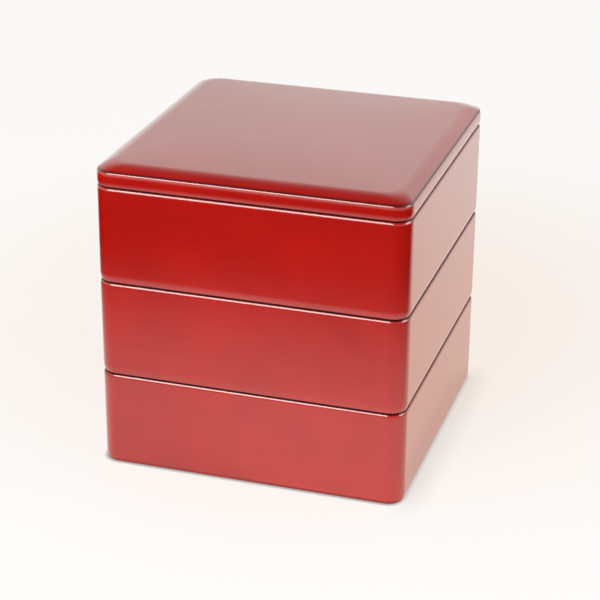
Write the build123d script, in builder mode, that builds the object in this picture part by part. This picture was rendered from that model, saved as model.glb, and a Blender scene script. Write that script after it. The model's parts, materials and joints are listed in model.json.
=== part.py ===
from build123d import *
import math
import os

# Stacking lacquer food box: three square tiers and a crowned lid, lacquered over wood.
# Millimetres, +Z up, origin on the ground under the middle of the box, front towards -Y.
# Each tier carries a raised lip, and the piece above drops over it.

# Outline shared by the lid and the tiers
box_width = 195.0
corner_radius = 10.5
wall_thickness = 4.5

# Tier walls: the outer face is upright, with a soft roll at the rim and another at the foot
tier_height = 61.5
rim_roll_height = 2.6
rim_roll_inset = 1.4
foot_roll_height = 5.0
foot_roll_inset = 0.9

# Base panel, let into a groove around the walls
recess_depth = 4.8
base_thickness = 4.0
groove_depth = 2.0
panel_gap = 0.2

# Lining boards, which stand proud of the walls as the lip
lining_thickness = 2.5
lining_corner_ease = 0.5
lip_height = 4.0
lip_clearance = 0.3
lip_lead_in = 0.8

# Loose tongues that lock the mitred corners of the walls
tongue_thickness = 1.5
tongue_width = 5.0
tongue_end_gap = 0.2
tongue_margin = 5.0

# Lid: rails under a top panel whose edge rolls up from the arris into a low dome.
# The roll starts at the crown's slope, in degrees, and ends at the dome's, with wider corners.
# The dome is sunk a little into the roll, so that the two cross cleanly at the corners.
lid_skirt_height = 8.7
lid_roll_height = 4.0
lid_roll_inset = 0.7
arris_radius = 2.0
crown_slope = 43.0
crown_roll_radius = 17.0
crown_corner_radius = 11.5
dome_slope = 1.5
dome_sink = 0.2
roll_steps = 5

tiers = ["lower", "middle", "upper"]
sides = ["front", "right", "back", "left"]
quarter = 360 / len(sides)
half_quarter = quarter / 2

half_width = box_width / 2
wall_inner_half = half_width - wall_thickness
wall_inner_radius = corner_radius - wall_thickness
base_top = recess_depth + base_thickness
lip_top = tier_height + lip_height
lid_seat = tier_height * len(tiers)
lid_ceiling = lid_seat + recess_depth
lid_arris = lid_seat + lid_skirt_height

# Run and rise of the crown's roll, and of the dome's arch that follows on from it
steep = math.radians(crown_slope)
gentle = math.radians(dome_slope)
roll_run = crown_roll_radius * (math.sin(steep) - math.sin(gentle))
roll_rise = crown_roll_radius * (math.cos(gentle) - math.cos(steep))
dome_half = half_width - roll_run
dome_radius = dome_half / math.sin(gentle)
dome_rise = dome_radius * (1 - math.cos(gentle))

# The tongues stand half way through the wall, on the diagonals of the box
tongue_circle = (wall_inner_half - wall_inner_radius) * math.sqrt(2) + wall_inner_radius + wall_thickness / 2
tongue_height = tier_height - base_top - 2 * tongue_margin

os.makedirs("parts", exist_ok=True)


def save(shape, name):
    """Label one piece and write it as its own file."""
    shape.label = name
    export_step(shape, f"parts/{name}.step")


def side_path(floor, turn, half, radius):
    """Line along one side of the box, from the middle of one rounded corner to the next."""
    straight = half - radius
    with BuildLine(Plane.XY.offset(floor).rotated((0, 0, turn))) as path:
        CenterArc((straight, -straight), radius, -half_quarter, -half_quarter)
        Line((straight, -half), (-straight, -half))
        CenterArc((-straight, -straight), radius, -quarter, -half_quarter)
    return path.line


def section_plane(path):
    """Upright plane at the start of a path, with its X axis pointing out of the box."""
    along = path % 0
    outward = Vector(0, 0, 1).cross(along)
    return Plane(origin=path @ 0, x_dir=outward, z_dir=along)


def soft_roll(start, end):
    """Arc of a section that meets the upright outer face without a corner."""
    inset = abs(end[0] - start[0])
    height = end[1] - start[1]
    RadiusArc(start, end, -(height**2 + inset**2) / (2 * inset))


def wall_board(floor, turn):
    """One mitred side board: rolled rim and foot, groove for the base, slots for tongues."""
    path = side_path(floor, turn, wall_inner_half, wall_inner_radius)
    with BuildPart() as board:
        with BuildSketch(section_plane(path)):
            foot_edge = (wall_thickness - foot_roll_inset, 0)
            face_foot = (wall_thickness, foot_roll_height)
            face_top = (wall_thickness, tier_height - rim_roll_height)
            rim_edge = (wall_thickness - rim_roll_inset, tier_height)
            with BuildLine():
                soft_roll(foot_edge, face_foot)
                Line(face_foot, face_top)
                soft_roll(face_top, rim_edge)
                Polyline(rim_edge, (0, tier_height), (0, 0), foot_edge)
            make_face()
            with Locations((0, recess_depth)):
                Rectangle(groove_depth, base_thickness, align=(Align.MIN, Align.MIN), mode=Mode.SUBTRACT)
        sweep(path=path)
        with BuildSketch(Plane.XY.offset(floor + base_top + tongue_margin)):
            with PolarLocations(tongue_circle, len(sides), half_quarter):
                Rectangle(tongue_thickness, tongue_width + 2 * tongue_end_gap)
        extrude(amount=tongue_height, mode=Mode.SUBTRACT)
    return board.part


def lining_board(floor, turn):
    """One mitred lining board, standing on the base and proud of the wall as the lip."""
    path = side_path(floor, turn, wall_inner_half, wall_inner_radius + lining_corner_ease)
    with BuildPart() as board:
        with BuildSketch(section_plane(path)) as section:
            with BuildLine():
                Polyline(
                    (-lining_thickness, base_top),
                    (0, base_top),
                    (0, tier_height),
                    (-lip_clearance, tier_height),
                    (-lip_clearance, lip_top),
                    (-lining_thickness, lip_top),
                    close=True,
                )
            make_face()
            chamfer(section.vertices().group_by(Axis.Y)[-1].sort_by(Axis.X)[-1], lip_lead_in)
        sweep(path=path)
    return board.part


def base_panel(floor):
    """Flat bottom board with its edge in the groove of the walls."""
    panel_half = wall_inner_half + groove_depth - panel_gap
    panel_radius = wall_inner_radius + groove_depth - panel_gap
    with BuildPart() as panel:
        with BuildSketch(Plane.XY.offset(floor + recess_depth)):
            RectangleRounded(2 * panel_half, 2 * panel_half, panel_radius)
        extrude(amount=base_thickness)
    return panel.part


def corner_tongues(floor):
    """The four loose tongues, one across each mitre, hidden in the walls' slots."""
    with BuildPart() as tongues:
        with BuildSketch(Plane.XY.offset(floor + base_top + tongue_margin)):
            with PolarLocations(tongue_circle, len(sides), half_quarter):
                Rectangle(tongue_thickness, tongue_width)
        extrude(amount=tongue_height)
    return tongues.part


def lid_rail(turn):
    """One mitred rail under the lid's top panel, which drops over the lip of the upper tier."""
    path = side_path(lid_seat, turn, wall_inner_half, wall_inner_radius)
    with BuildPart() as rail:
        with BuildSketch(section_plane(path)):
            foot_edge = (wall_thickness - lid_roll_inset, 0)
            face_foot = (wall_thickness, lid_roll_height)
            with BuildLine():
                soft_roll(foot_edge, face_foot)
                Polyline(face_foot, (wall_thickness, recess_depth), (0, recess_depth), (0, 0), foot_edge)
            make_face()
        sweep(path=path)
    return rail.part


def roll_outlines():
    """Level outlines up the crown's roll, each drawn further in and rounder than the one below."""
    outlines = []
    for step in range(roll_steps + 1):
        slope = steep + (gentle - steep) * step / roll_steps
        inset = crown_roll_radius * (math.sin(steep) - math.sin(slope))
        rise = crown_roll_radius * (math.cos(slope) - math.cos(steep))
        roundness = corner_radius + (crown_corner_radius - corner_radius) * inset / roll_run
        with BuildSketch(Plane.XY.offset(lid_arris + rise)) as outline:
            RectangleRounded(box_width - 2 * inset, box_width - 2 * inset, roundness)
        outlines.append(outline.sketch.face())
    return outlines


def lid_top_panel():
    """Top board of the lid: upright edge, rounded arris, rolled crown and low dome arched both ways."""
    dome_top = lid_arris + roll_rise + dome_rise - dome_sink
    arch_foot = dome_top + dome_radius * (math.cos(math.asin(half_width / dome_radius)) - 1)
    with BuildPart() as panel:
        with BuildSketch(Plane.XY.offset(lid_ceiling)):
            RectangleRounded(box_width, box_width, corner_radius)
        extrude(amount=lid_arris - lid_ceiling)
        loft(roll_outlines())
        arris = panel.edges().filter_by_position(Axis.Z, lid_arris, lid_arris)
        fillet(arris, arris_radius)
        extrude(panel.faces().sort_by(Axis.Z)[-1], amount=dome_rise)
        for across in (Plane.XZ, Plane.YZ):
            with BuildSketch(across):
                with BuildLine():
                    arch = ThreePointArc((-half_width, arch_foot), (0, dome_top), (half_width, arch_foot))
                    Polyline(arch @ 1, (half_width, lid_ceiling), (-half_width, lid_ceiling), arch @ 0)
                make_face()
            extrude(amount=half_width, both=True, mode=Mode.INTERSECT)
    return panel.part


for level, tier in enumerate(tiers):
    tier_floor = tier_height * level
    for number, side in enumerate(sides):
        save(wall_board(tier_floor, quarter * number), f"{tier}_{side}_wall")
        save(lining_board(tier_floor, quarter * number), f"{tier}_{side}_lining")
    save(base_panel(tier_floor), f"{tier}_base_panel")
    save(corner_tongues(tier_floor), f"{tier}_corner_tongues")

for number, side in enumerate(sides):
    save(lid_rail(quarter * number), f"lid_{side}_rail")
save(lid_top_panel(), "lid_top_panel")
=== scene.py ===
import json
import math
import bmesh
import bpy
from mathutils import Matrix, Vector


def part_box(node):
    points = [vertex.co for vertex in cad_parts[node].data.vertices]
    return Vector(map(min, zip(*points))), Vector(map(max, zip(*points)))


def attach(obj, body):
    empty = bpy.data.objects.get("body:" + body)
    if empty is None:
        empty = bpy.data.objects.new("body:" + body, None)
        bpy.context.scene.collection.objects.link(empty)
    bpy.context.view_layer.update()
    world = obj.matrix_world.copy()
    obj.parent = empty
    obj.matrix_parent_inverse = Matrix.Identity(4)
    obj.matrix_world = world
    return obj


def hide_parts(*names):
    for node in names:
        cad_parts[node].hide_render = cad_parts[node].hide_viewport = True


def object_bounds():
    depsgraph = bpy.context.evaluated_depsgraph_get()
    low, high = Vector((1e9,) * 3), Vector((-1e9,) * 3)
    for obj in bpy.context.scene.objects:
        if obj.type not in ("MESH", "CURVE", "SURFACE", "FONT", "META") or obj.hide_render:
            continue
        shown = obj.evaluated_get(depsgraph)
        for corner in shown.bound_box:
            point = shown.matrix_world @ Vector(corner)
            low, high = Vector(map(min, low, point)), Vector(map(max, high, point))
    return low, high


# Square stacking food box: three tiers and a crowned lid in red lacquer, black inside.
# Metres, +Z up, the box stands on the floor at the origin with its front towards -Y.

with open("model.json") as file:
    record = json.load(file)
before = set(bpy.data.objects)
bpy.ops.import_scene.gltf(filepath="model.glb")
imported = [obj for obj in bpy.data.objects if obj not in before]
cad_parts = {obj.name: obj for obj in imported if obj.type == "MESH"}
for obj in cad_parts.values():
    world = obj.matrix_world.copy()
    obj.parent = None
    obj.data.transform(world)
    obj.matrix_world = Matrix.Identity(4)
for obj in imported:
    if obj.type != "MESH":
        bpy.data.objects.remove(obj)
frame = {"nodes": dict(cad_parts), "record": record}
cadLow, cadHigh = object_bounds()
nodes = frame["nodes"]

mm = 0.001
tolerance = 0.001 * mm
tiers = ["lower", "middle", "upper"]
sides = ["front", "right", "back", "left"]

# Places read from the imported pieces
boxHalf = cadHigh.x
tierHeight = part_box("middle_front_wall")[0].z
baseLow, baseHigh = (corner.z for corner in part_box("lower_base_panel"))
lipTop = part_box("lower_front_lining")[1].z
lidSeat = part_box("lid_front_rail")[0].z
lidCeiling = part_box("lid_top_panel")[0].z


# Outlines are rounded squares, drawn level by level and bridged into a skin

def arc(centreX, centreY, radius, startAngle, endAngle, steps):
    # points on an arc in the section, from one angle to the other in degrees
    points = []
    for step in range(steps + 1):
        angle = math.radians(startAngle + (endAngle - startAngle) * step / steps)
        points.append((centreX + radius * math.cos(angle), centreY + radius * math.sin(angle)))
    return points


def addOutline(mesh, level, half, radius, height, cornerSteps, sideCuts):
    # one level outline: a square plane, corners rounded by a vertex bevel, sides cut evenly
    bpy.ops.mesh.select_all(action="DESELECT")
    bpy.ops.mesh.primitive_plane_add(size=2 * half, location=(0, 0, height))
    bpy.ops.mesh.bevel(offset=radius, segments=cornerSteps, affect="VERTICES")
    bpy.ops.mesh.delete(type="ONLY_FACE")
    outline = bmesh.from_edit_mesh(mesh)
    levelTag = outline.verts.layers.int["level"]
    fresh = [vert for vert in outline.verts if vert[levelTag] == 0]
    if sideCuts:
        sideEdges = [edge for edge in {edge for vert in fresh for edge in vert.link_edges}
                     if any(all(abs(abs(vert.co[axis]) - half) < tolerance for vert in edge.verts)
                            for axis in (0, 1))]
        sideVerts = {vert for edge in sideEdges for vert in edge.verts}
        for vert in fresh:
            vert.select_set(vert in sideVerts)
        bmesh.update_edit_mesh(mesh)
        bpy.ops.mesh.subdivide(number_cuts=sideCuts)
        outline = bmesh.from_edit_mesh(mesh)
        levelTag = outline.verts.layers.int["level"]
    for vert in outline.verts:
        if vert[levelTag] == 0:
            vert[levelTag] = level
    bmesh.update_edit_mesh(mesh)


def selectLevels(mesh, *levels):
    # selects the outlines with these numbers, and nothing else
    bpy.ops.mesh.select_all(action="DESELECT")
    outline = bmesh.from_edit_mesh(mesh)
    levelTag = outline.verts.layers.int["level"]
    for vert in outline.verts:
        vert.select_set(vert[levelTag] in levels)
    outline.select_flush_mode()
    bmesh.update_edit_mesh(mesh)


def bridgeLevels(mesh, first, second, lift=1.0):
    # the second outline is lifted clear while it is bridged, so that the two never share a plane
    selectLevels(mesh, second)
    bpy.ops.transform.translate(value=(0, 0, lift))
    selectLevels(mesh, first, second)
    bpy.ops.mesh.bridge_edge_loops()
    selectLevels(mesh, second)
    bpy.ops.transform.translate(value=(0, 0, -lift))


def skinOutlines(name, levels, closed, cornerSteps, sideCuts=0):
    # a closed body through level outlines given as (half width, corner radius, height)
    bpy.ops.object.select_all(action="DESELECT")
    bpy.ops.mesh.primitive_plane_add(size=2 * levels[0][0], location=(0, 0, 0))
    piece = bpy.context.object
    piece.name = name
    piece.data.name = name
    bpy.ops.object.mode_set(mode="EDIT")
    bpy.ops.mesh.select_mode(type="VERT")
    bpy.ops.mesh.delete(type="VERT")
    bmesh.from_edit_mesh(piece.data).verts.layers.int.new("level")
    bmesh.update_edit_mesh(piece.data)
    for number, (half, radius, height) in enumerate(levels, start=1):
        addOutline(piece.data, number, half, radius, height, cornerSteps, sideCuts)
    for number in range(1, len(levels)):
        bridgeLevels(piece.data, number, number + 1)
    if closed:
        bridgeLevels(piece.data, 1, len(levels))
    else:
        for end in (1, len(levels)):
            selectLevels(piece.data, end)
            bpy.ops.mesh.edge_face_add()
    bpy.ops.mesh.select_all(action="SELECT")
    bpy.ops.mesh.normals_make_consistent(inside=False)
    bpy.ops.object.mode_set(mode="OBJECT")
    piece.data.attributes.remove(piece.data.attributes["level"])
    return piece


def finishSurface(piece, smoothAngle=40):
    # smooth shading that keeps the flat faces flat beside their small rounds
    bpy.ops.object.select_all(action="DESELECT")
    piece.select_set(True)
    bpy.context.view_layer.objects.active = piece
    bpy.ops.object.shade_smooth_by_angle(angle=math.radians(smoothAngle))
    weighting = piece.modifiers.new("flatWeighting", "WEIGHTED_NORMAL")
    weighting.keep_sharp = True
    bpy.ops.object.modifier_apply(modifier=weighting.name)


def copyUp(piece, name, rise):
    # a copy with its own mesh, its place moved up in the mesh
    bpy.ops.object.select_all(action="DESELECT")
    piece.select_set(True)
    bpy.context.view_layer.objects.active = piece
    bpy.ops.object.duplicate()
    twin = bpy.context.object
    twin.name = name
    twin.data.name = name
    twin.data.transform(Matrix.Translation((0, 0, rise)))
    return twin


def reachOut(face):
    # how far out a face lies, measured square to the sides and round the upright corners
    straight = boxHalf - tierShell["cornerRadius"]
    beyondX = abs(face.center.x) - straight
    beyondY = abs(face.center.y) - straight
    if beyondX > 0 and beyondY > 0:
        return straight + math.hypot(beyondX, beyondY)
    return straight + max(beyondX, beyondY)


def paintByPlace(piece, finishes, pick):
    # the pick function gives the number of the finish for each face, by its place
    piece.data.materials.clear()
    for finish in finishes:
        piece.data.materials.append(finish)
    for face in piece.data.polygons:
        face.material_index = pick(face)


# Materials

def fromHex(code):
    # an sRGB hex colour as the linear values that the shader wants
    values = []
    for start in (0, 2, 4):
        value = int(code[start:start + 2], 16) / 255
        values.append(value / 12.92 if value <= 0.04045 else ((value + 0.055) / 1.055) ** 2.4)
    return (*values, 1)


def addNode(tree, kind, settings=(), links=()):
    # one node with its settings and its links; a setting on a socket is named by the socket
    node = tree.nodes.new(kind)
    for name, value in dict(settings).items():
        if isinstance(name, str) and hasattr(node, name):
            setattr(node, name, value)
        else:
            node.inputs[name].default_value = value
    for name, source in dict(links).items():
        tree.links.new(source, node.inputs[name])
    return node


softly = {"interpolation_type": "SMOOTHSTEP"}     # a Map Range that starts and ends gently


def startMaterial(name):
    material = bpy.data.materials.new(name)
    material.use_nodes = True
    material.node_tree.nodes.clear()
    return material, material.node_tree


redLacquer = {
    "colour": "B8120A",          # vermilion pigment in cured lac, seen through the clear top coat
    "deepColour": "AA0E08",      # where the pigment coat lies thicker
    "deepStart": 0.52,           # level of the cloud pattern where the colour starts to deepen
    "deepEnd": 0.92,             # and where it is deepest
    "streakShare": 0.45,         # how much the brush streaks add to the clouds
    "topFacing": 0.7,            # faces that look up more than this have the streaks of the lid's top
    "baseIor": 1.55,
    "baseRoughness": 0.24,
    "roughnessSpread": 0.04,
    "coatIor": 1.5,
    "coatRoughness": 0.09,
    "coatTint": "FFFBF4",        # cured lac is faintly amber
    "streakSpacing": 1.1 * mm,   # brush hairs leave 0.3 mm lines; drawn coarser so that they show
    "streakLength": 60 * mm,
    "cloudSize": 45 * mm,
    "waveSize": 14 * mm,
    "waveHeight": 0.012 * mm,
    "streakHeight": 0.0011 * mm,
    "arrisBandColour": "560604",      # a darker red band along the lid's arris
    "arrisBandHeight": 193.9 * mm,
    "arrisBandReach": 1.1 * mm,
}


def makeRedLacquer():
    # Brushed red lacquer over wood: a satin pigment coat under a clear polished one, so the
    # eye gets a deep red face on and a pale veil of the surroundings at a glancing angle.
    material, tree = startMaterial("brushedRedLacquer")
    place = addNode(tree, "ShaderNodeTexCoord").outputs["Object"]
    normal = addNode(tree, "ShaderNodeNewGeometry").outputs["Normal"]
    upness = addNode(tree, "ShaderNodeSeparateXYZ", links={0: normal}).outputs["Z"]
    onTop = addNode(tree, "ShaderNodeMath", {"operation": "GREATER_THAN", 1: redLacquer["topFacing"]},
                    {0: upness}).outputs[0]
    along = 1 / redLacquer["streakLength"]
    across = 1 / redLacquer["streakSpacing"]
    streaks = []
    for scale in ((along, along, across), (along, across, along)):
        stretched = addNode(tree, "ShaderNodeMapping", {"Scale": scale}, {"Vector": place})
        streaks.append(addNode(tree, "ShaderNodeTexNoise", {"Scale": 1.0, "Detail": 2.0},
                               {"Vector": stretched.outputs[0]}).outputs["Fac"])
    streak = addNode(tree, "ShaderNodeMix", {"data_type": "FLOAT"},
                     {0: onTop, 2: streaks[0], 3: streaks[1]}).outputs[0]
    cloud = addNode(tree, "ShaderNodeTexNoise", {"Scale": 1 / redLacquer["cloudSize"], "Detail": 3.0},
                    {"Vector": place}).outputs["Fac"]
    mottle = addNode(tree, "ShaderNodeMath", {"operation": "MULTIPLY_ADD", 1: redLacquer["streakShare"]},
                     {0: streak, 2: cloud}).outputs[0]
    depth = addNode(tree, "ShaderNodeMapRange", {
        "From Min": redLacquer["deepStart"], "From Max": redLacquer["deepEnd"],
    }, {"Value": mottle}).outputs[0]
    thick = addNode(tree, "ShaderNodeMix", {"data_type": "RGBA", 6: fromHex(redLacquer["colour"]),
                                            7: fromHex(redLacquer["deepColour"])}, {0: depth}).outputs[2]
    # a darker red band round the lid at the arris's height, set by height alone
    height = addNode(tree, "ShaderNodeSeparateXYZ", links={0: place}).outputs["Z"]
    above = addNode(tree, "ShaderNodeMath", {"operation": "SUBTRACT", 1: redLacquer["arrisBandHeight"]},
                    {0: height})
    apart = addNode(tree, "ShaderNodeMath", {"operation": "ABSOLUTE"}, {0: above.outputs[0]})
    arrisBand = addNode(tree, "ShaderNodeMapRange", {
        **softly, "From Min": redLacquer["arrisBandReach"], "From Max": 0.0,
    }, {"Value": apart.outputs[0]}).outputs[0]
    colour = addNode(tree, "ShaderNodeMix", {"data_type": "RGBA", 7: fromHex(redLacquer["arrisBandColour"])},
                     {0: arrisBand, 6: thick}).outputs[2]
    wave = addNode(tree, "ShaderNodeTexNoise", {"Scale": 1 / redLacquer["waveSize"], "Detail": 1.0},
                   {"Vector": place}).outputs["Fac"]
    waves = addNode(tree, "ShaderNodeBump", {"Distance": redLacquer["waveHeight"]}, {"Height": wave})
    relief = addNode(tree, "ShaderNodeBump", {"Distance": redLacquer["streakHeight"]},
                     {"Height": streak, "Normal": waves.outputs[0]})
    gloss = addNode(tree, "ShaderNodeMapRange", {
        "To Min": redLacquer["baseRoughness"] - redLacquer["roughnessSpread"],
        "To Max": redLacquer["baseRoughness"] + redLacquer["roughnessSpread"],
    }, {"Value": streak}).outputs[0]
    shader = addNode(tree, "ShaderNodeBsdfPrincipled", {
        "IOR": redLacquer["baseIor"], "Coat Weight": 1.0, "Coat IOR": redLacquer["coatIor"],
        "Coat Roughness": redLacquer["coatRoughness"], "Coat Tint": fromHex(redLacquer["coatTint"]),
    }, {"Base Color": colour, "Roughness": gloss, "Normal": relief.outputs[0],
        "Coat Normal": relief.outputs[0]})
    addNode(tree, "ShaderNodeOutputMaterial", links={"Surface": shader.outputs[0]})
    return material


blackLacquer = {
    "colour": "120F0E",
    "sheenColour": "1B1715",
    "roughness": 0.28,
    "roughnessSpread": 0.05,
    "coatWeight": 0.6,
    "coatRoughness": 0.16,
    "ior": 1.55,
    "cloudSize": 30 * mm,
    "waveSize": 12 * mm,
    "waveHeight": 0.012 * mm,
}


def makeBlackLacquer():
    # Black lacquer of the inside: near black, with the same soft polish as the red.
    material, tree = startMaterial("blackLacquer")
    place = addNode(tree, "ShaderNodeTexCoord").outputs["Object"]
    cloud = addNode(tree, "ShaderNodeTexNoise", {"Scale": 1 / blackLacquer["cloudSize"], "Detail": 4.0},
                    {"Vector": place}).outputs["Fac"]
    colour = addNode(tree, "ShaderNodeMix", {
        "data_type": "RGBA", 6: fromHex(blackLacquer["colour"]), 7: fromHex(blackLacquer["sheenColour"]),
    }, {0: cloud}).outputs[2]
    wave = addNode(tree, "ShaderNodeTexNoise", {"Scale": 1 / blackLacquer["waveSize"], "Detail": 1.0},
                   {"Vector": place}).outputs["Fac"]
    waves = addNode(tree, "ShaderNodeBump", {"Distance": blackLacquer["waveHeight"]}, {"Height": wave})
    gloss = addNode(tree, "ShaderNodeMapRange", {
        "To Min": blackLacquer["roughness"] - blackLacquer["roughnessSpread"],
        "To Max": blackLacquer["roughness"] + blackLacquer["roughnessSpread"],
    }, {"Value": cloud}).outputs[0]
    shader = addNode(tree, "ShaderNodeBsdfPrincipled", {
        "IOR": blackLacquer["ior"], "Coat Weight": blackLacquer["coatWeight"],
        "Coat Roughness": blackLacquer["coatRoughness"],
    }, {"Base Color": colour, "Roughness": gloss, "Normal": waves.outputs[0]})
    addNode(tree, "ShaderNodeOutputMaterial", links={"Surface": shader.outputs[0]})
    return material


seatBlackAndShade = {
    "colour": "100505",
    "wornColour": "1A0807",
    "roughness": 0.34,
    "roughnessSpread": 0.06,
    "ior": 1.45,
    "cloudSize": 8 * mm,
}


def makeSeatBlackAndShade():
    # Black lacquer left unpolished where one tier sits on the next, in satin: partly the inside's black
    # run over the rim, partly painted shade that keeps the seam a dark line.
    material, tree = startMaterial("seatBlackAndPaintedShade")
    place = addNode(tree, "ShaderNodeTexCoord").outputs["Object"]
    cloud = addNode(tree, "ShaderNodeTexNoise", {"Scale": 1 / seatBlackAndShade["cloudSize"], "Detail": 3.0},
                    {"Vector": place}).outputs["Fac"]
    colour = addNode(tree, "ShaderNodeMix", {"data_type": "RGBA", 6: fromHex(seatBlackAndShade["colour"]),
                                             7: fromHex(seatBlackAndShade["wornColour"])}, {0: cloud}).outputs[2]
    gloss = addNode(tree, "ShaderNodeMapRange", {
        "To Min": seatBlackAndShade["roughness"] - seatBlackAndShade["roughnessSpread"],
        "To Max": seatBlackAndShade["roughness"] + seatBlackAndShade["roughnessSpread"],
    }, {"Value": cloud}).outputs[0]
    shader = addNode(tree, "ShaderNodeBsdfPrincipled", {"IOR": seatBlackAndShade["ior"]},
                     {"Base Color": colour, "Roughness": gloss})
    addNode(tree, "ShaderNodeOutputMaterial", links={"Surface": shader.outputs[0]})
    return material


bareWood = {
    "pale": "C9A477",
    "dark": "A97F52",
    "ringSpacing": 2.2 * mm,
    "grainLength": 40 * mm,
    "grainHeight": 0.03 * mm,
    "roughness": 0.6,
}


def makeBareWood():
    # Planed softwood of the corner tongues: pale and matt, with close upright grain lines.
    material, tree = startMaterial("planedWood")
    place = addNode(tree, "ShaderNodeTexCoord").outputs["Object"]
    scale = (1 / bareWood["ringSpacing"], 1 / bareWood["ringSpacing"], 1 / bareWood["grainLength"])
    stretched = addNode(tree, "ShaderNodeMapping", {"Scale": scale}, {"Vector": place})
    grain = addNode(tree, "ShaderNodeTexNoise", {"Scale": 1.0, "Detail": 3.0},
                    {"Vector": stretched.outputs[0]}).outputs["Fac"]
    colour = addNode(tree, "ShaderNodeMix", {"data_type": "RGBA", 6: fromHex(bareWood["pale"]),
                                             7: fromHex(bareWood["dark"])}, {0: grain}).outputs[2]
    relief = addNode(tree, "ShaderNodeBump", {"Distance": bareWood["grainHeight"]}, {"Height": grain})
    shader = addNode(tree, "ShaderNodeBsdfPrincipled", {"Roughness": bareWood["roughness"]},
                     {"Base Color": colour, "Normal": relief.outputs[0]})
    addNode(tree, "ShaderNodeOutputMaterial", links={"Surface": shader.outputs[0]})
    return material


red = makeRedLacquer()
black = makeBlackLacquer()
seatAndShade = makeSeatBlackAndShade()
wood = makeBareWood()
print("materials:", red.name, black.name, seatAndShade.name, wood.name)


# Outer boards of a tier, under one unbroken coat of lacquer
tierShell = {
    "cornerRadius": 10.5 * mm,
    "wall": 4.5 * mm,
    "rimHeight": 2.6 * mm,
    "rimInset": 1.4 * mm,
    "footHeight": 5.0 * mm,
    "footInset": 0.9 * mm,
    "footEdge": 0.4 * mm,
    "soleHeight": 0.1 * mm,      # faces below this are the black sole, which also paints shade into the seam
    "innerEase": 0.3 * mm,
    "grooveDepth": 2.0 * mm,
    "blackSeatAndShade": 0.55 * mm,      # the black of the inside runs over the rim, to this far from the outside; this wide also to paint the seam's shade
    "cornerSteps": 14,
    "roundSteps": 8,
}


def rollSize(height, inset):
    # radius and angle of a soft roll that meets the upright face without a corner
    radius = (height ** 2 + inset ** 2) / (2 * inset)
    return radius, math.degrees(math.asin(height / radius))


def footRoll(height, inset, edge, steps):
    # section of a soft roll: eased bottom edge, then an arc out to the upright face
    radius, angle = rollSize(height, inset)
    points = arc(-radius, height, radius, -angle, 0, steps)
    bottomX = points[0][0]
    ease = edge * 0.3     # a quarter round, in two straight steps
    return [(bottomX - edge, 0), (bottomX - ease, ease)] + points[1:]


def makeTierShell():
    shell = tierShell
    half = boxHalf
    corner = shell["cornerRadius"]
    section = footRoll(shell["footHeight"], shell["footInset"], shell["footEdge"], shell["roundSteps"])
    rimFoot = tierHeight - shell["rimHeight"]
    radius, angle = rollSize(shell["rimHeight"], shell["rimInset"])
    section += arc(-radius, rimFoot, radius, 0, angle, shell["roundSteps"])
    inner = -shell["wall"]
    ease = shell["innerEase"]
    groove = inner + shell["grooveDepth"]
    section += [(inner + ease, tierHeight), (inner, tierHeight - ease)]
    section += [(inner, baseHigh), (groove, baseHigh), (groove, baseLow), (inner, baseLow)]
    section += [(inner, ease), (inner + ease, 0)]
    levels = [(half + x, corner + x, z) for x, z in section]
    piece = skinOutlines("lower_tier_shell", levels, True, shell["cornerSteps"])
    finishSurface(piece)
    innerHalf = half - shell["wall"] + ease / 2
    seatShadeHalf = half - shell["blackSeatAndShade"]
    footHalf = half - shell["footInset"]

    def pick(face):
        out = reachOut(face)
        if out < innerHalf:
            return 1
        # the rim's top and the sole take the seat black, which also paints the seam's shade
        onRim = face.center.z > rimFoot and out < seatShadeHalf
        underFoot = face.center.z < shell["soleHeight"] and out < footHalf
        return 2 if onRim or underFoot else 0

    paintByPlace(piece, (red, black, seatAndShade), pick)
    return piece


# Lining boards of a tier, standing proud as the lip
liningRing = {
    "thickness": 2.5 * mm,
    "cornerEase": 0.5 * mm,
    "lipClearance": 0.3 * mm,
    "lipRound": 0.8 * mm,
    "roundSteps": 5,
    "cornerSteps": 10,
}


def makeLiningRing():
    ring = liningRing
    outer = boxHalf - tierShell["wall"]
    radius = tierShell["cornerRadius"] - tierShell["wall"] + ring["cornerEase"]
    thick = ring["thickness"]
    gap = ring["lipClearance"]
    lip = ring["lipRound"]
    steps = ring["roundSteps"]
    section = [(-thick, baseHigh), (0, baseHigh), (0, tierHeight - gap), (-gap, tierHeight)]
    section += arc(-gap - lip, lipTop - lip, lip, 0, 90, steps)
    section += arc(-thick + lip, lipTop - lip, lip, 90, 180, steps)
    levels = [(outer + x, radius + x, z) for x, z in section]
    piece = skinOutlines("lower_tier_lining", levels, True, ring["cornerSteps"])
    finishSurface(piece)
    piece.data.materials.append(black)
    return piece


# Lid: skirt, rounded arris, rolled crown and low dome, with a flat black ceiling
lidShell = {
    "skirtHeight": 8.7 * mm,
    "footHeight": 4.0 * mm,
    "footInset": 0.7 * mm,
    "footEdge": 0.4 * mm,
    "arrisRadius": 2.0 * mm,
    "shoulderRadius": 12 * mm,   # soft turn from the skirt into the arris
    "shoulderAngle": 13,
    "crownSlope": 43,            # the roll starts this steep and ends at the dome's slope
    "crownRadius": 17 * mm,
    "crownCorner": 11.5 * mm,
    "domeSlope": 1.5,
    "flatMiddle": 12 * mm,       # half width of the flat in the middle of the dome
    "middleRoundness": 0.9,      # corner radius there, as a share of that half width
    "rollSteps": 14,
    "domeSteps": 12,
    "cornerSteps": 14,
    "sideCuts": 7,
    "roundSteps": 6,
}


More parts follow.
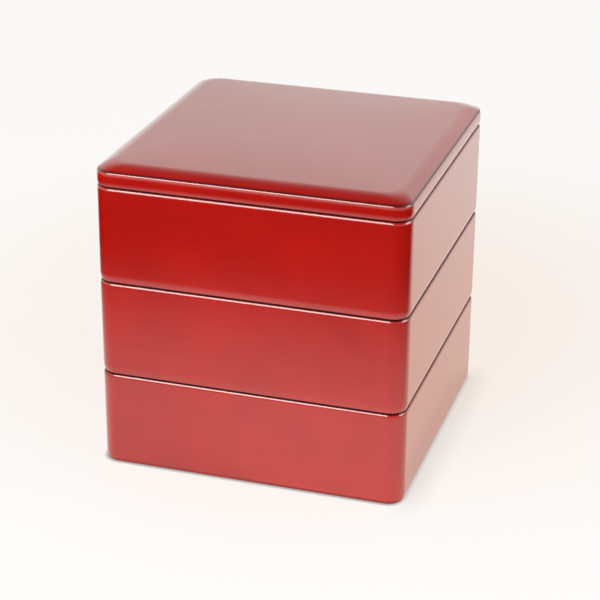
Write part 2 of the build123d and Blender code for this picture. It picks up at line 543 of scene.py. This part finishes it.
def arrisBend():
    # section from the upright skirt over a soft shoulder and the arris, up to the crown's slope
    lid = lidShell
    shoulder = arc(-lid["shoulderRadius"], 0, lid["shoulderRadius"], 0, lid["shoulderAngle"],
                   lid["roundSteps"])
    turn = math.radians(lid["shoulderAngle"])
    centreX = shoulder[-1][0] - lid["arrisRadius"] * math.cos(turn)
    centreZ = shoulder[-1][1] - lid["arrisRadius"] * math.sin(turn)
    bend = arc(centreX, centreZ, lid["arrisRadius"], lid["shoulderAngle"], 90 - lid["crownSlope"],
               lid["roundSteps"])
    steep = math.radians(lid["crownSlope"])
    reach = -bend[-1][0] / math.cos(steep)
    drop = lid["skirtHeight"] + reach * math.sin(steep) - bend[-1][1]
    return [(x, z + drop) for x, z in shoulder + bend[1:]], reach


def crownLevels(arrisHeight):
    # levels from the top of the arris to the middle: up the roll, then over the dome
    lid = lidShell
    steep = math.radians(lid["crownSlope"])
    gentle = math.radians(lid["domeSlope"])
    radius = lid["crownRadius"]
    rollRun = radius * (math.sin(steep) - math.sin(gentle))
    rollRise = radius * (math.cos(gentle) - math.cos(steep))
    tangent = arrisBend()[1]
    edgeCorner = tierShell["cornerRadius"]
    levels = []
    for step in range(lid["rollSteps"] + 1):
        slope = steep + (gentle - steep) * step / lid["rollSteps"]
        inset = radius * (math.sin(steep) - math.sin(slope))
        rise = radius * (math.cos(slope) - math.cos(steep))
        corner = edgeCorner + (lid["crownCorner"] - edgeCorner) * inset / rollRun
        if step == 0:
            inset = tangent * math.cos(steep)
            rise = tangent * math.sin(steep)
        levels.append((boxHalf - inset, corner, arrisHeight + rise))
    domeRun = boxHalf - rollRun - lid["flatMiddle"]
    edgeShare = lid["crownCorner"] / (boxHalf - rollRun)
    for step in range(1, lid["domeSteps"] + 1):
        across = step / lid["domeSteps"]
        half = boxHalf - rollRun - domeRun * across
        roundness = edgeShare + (lid["middleRoundness"] - edgeShare) * across
        rise = rollRise + domeRun * math.tan(gentle) * (across - across ** 2 / 2)
        levels.append((half, half * roundness, arrisHeight + rise))
    return levels


def makeLidShell():
    lid = lidShell
    corner = tierShell["cornerRadius"]
    arris = lidSeat + lid["skirtHeight"]
    inner = -tierShell["wall"]
    ease = tierShell["innerEase"]
    foot = footRoll(lid["footHeight"], lid["footInset"], lid["footEdge"], lid["roundSteps"])
    bend = arrisBend()[0]
    section = [(inner, lidCeiling - lidSeat), (inner, ease), (inner + ease, 0)] + foot + bend[:-1]
    levels = [(boxHalf + x, corner + x, lidSeat + z) for x, z in section] + crownLevels(arris)
    piece = skinOutlines("lid_shell", levels, False, lid["cornerSteps"], lid["sideCuts"])
    finishSurface(piece)
    innerHalf = boxHalf - tierShell["wall"] + ease / 2
    footHalf = boxHalf - lid["footInset"]

    def pick(face):
        out = reachOut(face)
        if face.center.z < lidCeiling + ease and out < innerHalf:
            return 1
        # the lid's sole takes the seat black, which also paints the seam's shade
        return 2 if face.center.z < lidSeat + tierShell["soleHeight"] and out < footHalf else 0

    paintByPlace(piece, (red, black, seatAndShade), pick)
    return piece


firstShell = makeTierShell()
firstLining = makeLiningRing()
for level, tier in enumerate(tiers):
    rise = tierHeight * level
    shell = firstShell if level == 0 else copyUp(firstShell, tier + "_tier_shell", rise)
    lining = firstLining if level == 0 else copyUp(firstLining, tier + "_tier_lining", rise)
    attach(shell, tier + "_tier")
    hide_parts(*[tier + "_" + side + "_wall" for side in sides])
    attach(lining, tier + "_tier")
    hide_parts(*[tier + "_" + side + "_lining" for side in sides])
    print(tier, "tier: shell and lining")

lid = makeLidShell()
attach(lid, "lid")
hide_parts("lid_top_panel", *["lid_" + side + "_rail" for side in sides])
print("lid:", len(lid.data.polygons), "faces")

finishes = {"red_lacquer": red, "black_lacquer": black, "bare_wood": wood}
for part in frame["record"]["subparts"]:
    board = nodes[part["node"]]
    board.data.materials.clear()
    board.data.materials.append(finishes[part["material_slot"]])


# Floor, light and camera
studio = {
    "floorSize": 40,
    "floorMatt": "605E5C",       # takes the shadow and the bounce of the box
    "floorWhite": "FFFDFB",
    "floorGlow": 0.90,           # what the camera and the gloss of the lacquer see
    "seenPaintedBounce": "FAEEE4",        # painted warm bounce and shade round the box, as the camera sees the floor
    "seenBouncePlace": (-0.02, 0.18, 0),
    "seenBounceReach": 0.44,
    "glossPaintedBounce": "FCE6D6",       # painted warm bounce and shade round the box, seen only in what the right side mirrors
    "glossBouncePlace": (0.11, 0.08, 0),
    "glossBounceReach": 0.6,
    "glossBounceFront": (-0.14, -0.05),     # it fades out before the front side
    "wallOpenness": 0.5,         # how open the floor is right beside an upright wall
    "footShadeReach": 3 * mm,         # thin painted contact shadow where the front meets the floor
    "footShadeLevel": 0.36,
    "shadeReach": 20 * mm,       # and the softer painted shade along the right side
    "shadeLevel": 0.8,
    "shadeSide": (0.088, 0.104),     # where the one gives way to the other
}


def makeFloor():
    bpy.ops.object.select_all(action="DESELECT")
    bpy.ops.mesh.primitive_plane_add(size=studio["floorSize"], location=(0, 0, 0))
    floor = bpy.context.object
    floor.name = "floor"
    material, tree = startMaterial("matFloor")
    place = addNode(tree, "ShaderNodeTexCoord").outputs["Object"]
    ground = addNode(tree, "ShaderNodeSeparateXYZ", links={0: place})

    def nearness(centre, reach):
        # one at the place, falling to nothing at the reach
        apart = addNode(tree, "ShaderNodeVectorMath", {"operation": "DISTANCE", 1: centre}, {0: place})
        return addNode(tree, "ShaderNodeMapRange", {**softly, "From Min": reach, "From Max": 0.0},
                       {"Value": apart.outputs["Value"]}).outputs[0]

    def shaded(reach, level):
        # strength of the glow, less where the box closes off the floor: painted shade
        openness = addNode(tree, "ShaderNodeAmbientOcclusion", {"samples": 6, "Distance": reach})
        return addNode(tree, "ShaderNodeMapRange", {
            "From Min": studio["wallOpenness"], "From Max": 1.0, "To Min": level * studio["floorGlow"],
            "To Max": studio["floorGlow"]}, {"Value": openness.outputs["AO"]}).outputs[0]

    fades = []
    for axis, (start, end) in (("Y", studio["glossBounceFront"]), ("X", studio["shadeSide"])):
        fades.append(addNode(tree, "ShaderNodeMapRange", {**softly, "From Min": start, "From Max": end},
                             {"Value": ground.outputs[axis]}).outputs[0])
    # painted bounce and shade near the box, as the camera sees the floor
    seenBounceShare = nearness(studio["seenBouncePlace"], studio["seenBounceReach"])
    # painted reflection: a warmer, darker floor near the right wall that only the gloss sees
    glossBounceShare = addNode(tree, "ShaderNodeMath", {"operation": "MULTIPLY"}, {
        0: nearness(studio["glossBouncePlace"], studio["glossBounceReach"]), 1: fades[0]}).outputs[0]
    whites = []
    for bounceShare, colour in ((seenBounceShare, studio["seenPaintedBounce"]), (glossBounceShare, studio["glossPaintedBounce"])):
        whites.append(addNode(tree, "ShaderNodeMix", {
            "data_type": "RGBA", 6: fromHex(studio["floorWhite"]), 7: fromHex(colour),
        }, {0: bounceShare}).outputs[2])
    # gloss rays get the painted reflection, the other rays the painted bounce and shade
    seen = addNode(tree, "ShaderNodeLightPath")
    white = addNode(tree, "ShaderNodeMix", {"data_type": "RGBA"}, {
        0: seen.outputs["Is Glossy Ray"], 6: whites[0], 7: whites[1]}).outputs[2]
    direct = addNode(tree, "ShaderNodeMath", {"operation": "MAXIMUM"},
                     {0: seen.outputs["Is Camera Ray"], 1: seen.outputs["Is Glossy Ray"]})
    either = addNode(tree, "ShaderNodeMath", {"operation": "MAXIMUM"},
                     {0: direct.outputs[0], 1: seen.outputs["Is Transmission Ray"]})
    shade = addNode(tree, "ShaderNodeMix", {"data_type": "FLOAT"}, {
        0: fades[1], 2: shaded(studio["footShadeReach"], studio["footShadeLevel"]),
        3: shaded(studio["shadeReach"], studio["shadeLevel"])}).outputs[0]
    glow = addNode(tree, "ShaderNodeMath", {"operation": "MULTIPLY"}, {0: either.outputs[0], 1: shade})
    matt = addNode(tree, "ShaderNodeBsdfDiffuse", {"Color": fromHex(studio["floorMatt"])})
    light = addNode(tree, "ShaderNodeEmission", links={"Color": white, "Strength": glow.outputs[0]})
    both = addNode(tree, "ShaderNodeAddShader", links={0: matt.outputs[0], 1: light.outputs[0]})
    addNode(tree, "ShaderNodeOutputMaterial", links={"Surface": both.outputs[0]})
    floor.data.materials.append(material)


# painted dark reflections: cards on the floor that only the lacquer's gloss sees
darkCard = {
    "near": 0.07, "full": 0.36,      # distance from the box where the dark starts and is full
    "thin": 0.8, "end": 1.8,         # and where it thins and ends
    "height": 1 * mm,
    "colour": "0A0808",
}

# Two corners of each card, and its soft side: how far along a direction it is clear, and covered
cardPlaces = {
    "frontCard": {"low": (-2.0, -2.0), "high": (boxHalf, -boxHalf),
                  "along": (0, 1, 0), "clear": 0.0, "covered": -boxHalf},
    "rightCard": {"low": (boxHalf, -2.0), "high": (2.0, 1.5),
                  "along": (-1, 1, 0), "clear": -2 * boxHalf, "covered": -0.13 - 2 * boxHalf},
    "leftCard": {"low": (-2.0, -boxHalf), "high": (-boxHalf, 0.25),
                 "along": (0, 1, 0), "clear": 0.25, "covered": 0.05},
}


def addCard(name, spot):
    # a dark card on the floor that only the gloss of the lacquer sees: a painted dark reflection
    low = spot["low"]
    high = spot["high"]
    bpy.ops.object.select_all(action="DESELECT")
    bpy.ops.mesh.primitive_plane_add(size=1, location=(0, 0, 0))
    card = bpy.context.object
    card.name = name
    card.data.transform(Matrix.Diagonal((high[0] - low[0], high[1] - low[1], 1, 1)))
    middle = ((low[0] + high[0]) / 2, (low[1] + high[1]) / 2, darkCard["height"])
    card.data.transform(Matrix.Translation(middle))
    material, tree = startMaterial(name + "Cloth")
    place = addNode(tree, "ShaderNodeTexCoord").outputs["Object"]
    nearest = place     # the point of the box's footprint that lies nearest
    for operation, limit in (("MAXIMUM", -boxHalf), ("MINIMUM", boxHalf)):
        nearest = addNode(tree, "ShaderNodeVectorMath", {"operation": operation, 1: (limit, limit, 0)},
                          {0: nearest}).outputs[0]
    apart = addNode(tree, "ShaderNodeVectorMath", {"operation": "DISTANCE"}, {0: place, 1: nearest})
    along = addNode(tree, "ShaderNodeVectorMath", {"operation": "DOT_PRODUCT", 1: spot["along"]},
                    {0: place})
    fades = []
    for source, start, end in ((apart, darkCard["near"], darkCard["full"]),
                               (apart, darkCard["end"], darkCard["thin"]),
                               (along, spot["clear"], spot["covered"])):
        fades.append(addNode(tree, "ShaderNodeMapRange", {**softly, "From Min": start, "From Max": end},
                             {"Value": source.outputs["Value"]}).outputs[0])
    cover = fades[0]
    for fade in fades[1:]:
        cover = addNode(tree, "ShaderNodeMath", {"operation": "MULTIPLY"}, {0: cover, 1: fade}).outputs[0]
    bare = addNode(tree, "ShaderNodeBsdfTransparent")
    dark = addNode(tree, "ShaderNodeBsdfDiffuse", {"Color": fromHex(darkCard["colour"])})
    mixed = addNode(tree, "ShaderNodeMixShader", links={0: cover, 1: bare.outputs[0], 2: dark.outputs[0]})
    addNode(tree, "ShaderNodeOutputMaterial", links={"Surface": mixed.outputs[0]})
    card.data.materials.append(material)
    card.visible_camera = False
    card.visible_diffuse = False
    card.visible_shadow = False
    card.visible_transmission = False


# Bright bands of the sky: each is full from the start on and gone at the end, along one axis
skyBands = {
    "horizon": {"axis": "Z", "start": 0.139, "end": 0.276, "level": 0.85},     # 8 to 16 degrees up
    "height": {"axis": "Z", "start": 0.375, "end": 0.985, "level": 1.0},       # 22 to 80 degrees up
    "back": {"axis": "Y", "start": 0.35, "end": -0.2, "level": 0.92},
    "left": {"axis": "X", "start": -0.75, "end": -0.2, "level": 0.8},
}
sky = {
    "colour": "FFFEFD",
    "restLevel": 0.10,
    "leanStart": -0.24, "leanEnd": -0.42, "leanLevel": 0.88,       # the back is darker towards the left
    "darkTowards": (0.473, 0.875, 0.10), "darkStart": 0.955, "darkEnd": 0.985, "darkLevel": 0.35,
}


def makeWorld():
    # pale round the horizon, bright behind and on the left and less so with height, dark in front,
    # with a dark spot behind on the right that the lid's edge mirrors
    world = bpy.data.worlds.new("paleStudio")
    bpy.context.scene.world = world
    world.use_nodes = True
    tree = world.node_tree
    tree.nodes.clear()
    direction = addNode(tree, "ShaderNodeTexCoord").outputs["Generated"]
    axes = addNode(tree, "ShaderNodeSeparateXYZ", links={0: direction})
    facing = addNode(tree, "ShaderNodeVectorMath", {"operation": "DOT_PRODUCT", 1: sky["darkTowards"]},
                     {0: direction})
    light = {}
    for name, band in skyBands.items():
        light[name] = addNode(tree, "ShaderNodeMapRange", {
            **softly, "From Min": band["start"], "From Max": band["end"], "To Min": band["level"],
            "To Max": 0.0}, {"Value": axes.outputs[band["axis"]]}).outputs[0]
    for name, source in (("lean", axes.outputs["X"]), ("dark", facing.outputs["Value"])):
        light[name] = addNode(tree, "ShaderNodeMapRange", {
            **softly, "From Min": sky[name + "Start"], "From Max": sky[name + "End"], "To Min": 1.0,
            "To Max": sky[name + "Level"]}, {"Value": source}).outputs[0]
    # the back and the left dim with height, the brightest band counts, and the dark spot dims it
    for name, operation, other in (("back", "MULTIPLY", "height"), ("back", "MULTIPLY", "lean"),
                                   ("left", "MULTIPLY", "height"), ("back", "MAXIMUM", "left"),
                                   ("back", "MAXIMUM", "horizon"), ("back", "MULTIPLY", "dark")):
        light[name] = addNode(tree, "ShaderNodeMath", {"operation": operation},
                              {0: light[name], 1: light[other]}).outputs[0]
    level = addNode(tree, "ShaderNodeMath", {"operation": "ADD", 1: sky["restLevel"]}, {0: light["back"]})
    background = addNode(tree, "ShaderNodeBackground", {"Color": fromHex(sky["colour"])},
                         {"Strength": level.outputs[0]})
    addNode(tree, "ShaderNodeOutputWorld", links={"Surface": background.outputs[0]})


# Azimuth 0 lies straight in front and turns towards the right
frontLight = {
    "azimuth": -17,
    "elevation": 20,
    "distance": 1.3,
    "width": 0.55,
    "height": 0.45,
    "power": 8,
    "fillPower": 5,              # the rest of the front light, which leaves no highlight
}
rightLight = {
    "azimuth": 90,
    "elevation": 18,
    "distance": 1.5,
    "width": 0.9,
    "height": 0.7,
    "power": 9,
}


def addSoftbox(name, light, power):
    # a softbox aimed at the middle of the box
    lamp = bpy.data.lights.new(name, "AREA")
    lamp.shape = "RECTANGLE"
    lamp.size = light["width"]
    lamp.size_y = light["height"]
    lamp.energy = power
    holder = bpy.data.objects.new(name, lamp)
    bpy.context.scene.collection.objects.link(holder)
    holder.matrix_world = (
        Matrix.Translation((0, 0, (cadLow.z + cadHigh.z) / 2))
        @ Matrix.Rotation(math.radians(light["azimuth"]), 4, "Z")
        @ Matrix.Rotation(math.radians(90 - light["elevation"]), 4, "X")
        @ Matrix.Translation((0, 0, light["distance"])))
    return holder


bounce = {
    "place": (0.09, -0.22, 0.002),
    "width": 0.3,
    "power": 0.16,
}


def addBounce():
    # light thrown up by the floor in front on the right, too matt for the gloss to mirror
    lamp = bpy.data.lights.new("floorBounce", "AREA")
    lamp.shape = "DISK"
    lamp.size = bounce["width"]
    lamp.energy = bounce["power"]
    holder = bpy.data.objects.new("floorBounce", lamp)
    bpy.context.scene.collection.objects.link(holder)
    holder.matrix_world = Matrix.Translation(bounce["place"]) @ Matrix.Rotation(math.pi, 4, "X")
    holder.visible_camera = False
    holder.visible_glossy = False


cameraView = {
    "place": (0.3294, -1.0601, 0.5782),
    "azimuth": 17.13,
    "elevation": 24.06,
    "roll": 0.465,
    "lens": 112.69,
    "sensor": 36,
}


def makeCamera():
    data = bpy.data.cameras.new("camera")
    data.lens = cameraView["lens"]
    data.sensor_width = cameraView["sensor"]
    camera = bpy.data.objects.new("camera", data)
    bpy.context.scene.collection.objects.link(camera)
    camera.matrix_world = (
        Matrix.Translation(cameraView["place"])
        @ Matrix.Rotation(math.radians(cameraView["azimuth"]), 4, "Z")
        @ Matrix.Rotation(math.radians(90 - cameraView["elevation"]), 4, "X")
        @ Matrix.Rotation(math.radians(cameraView["roll"]), 4, "Z"))
    bpy.context.scene.camera = camera


makeFloor()
for name, spot in cardPlaces.items():
    addCard(name, spot)
makeWorld()
addSoftbox("frontSoftbox", frontLight, frontLight["power"])
frontFill = addSoftbox("frontFill", frontLight, frontLight["fillPower"])
frontFill.visible_glossy = False
addSoftbox("rightSoftbox", rightLight, rightLight["power"])
addBounce()
makeCamera()
bpy.context.scene.view_settings.view_transform = "Standard"
print("floor, light and camera are set")
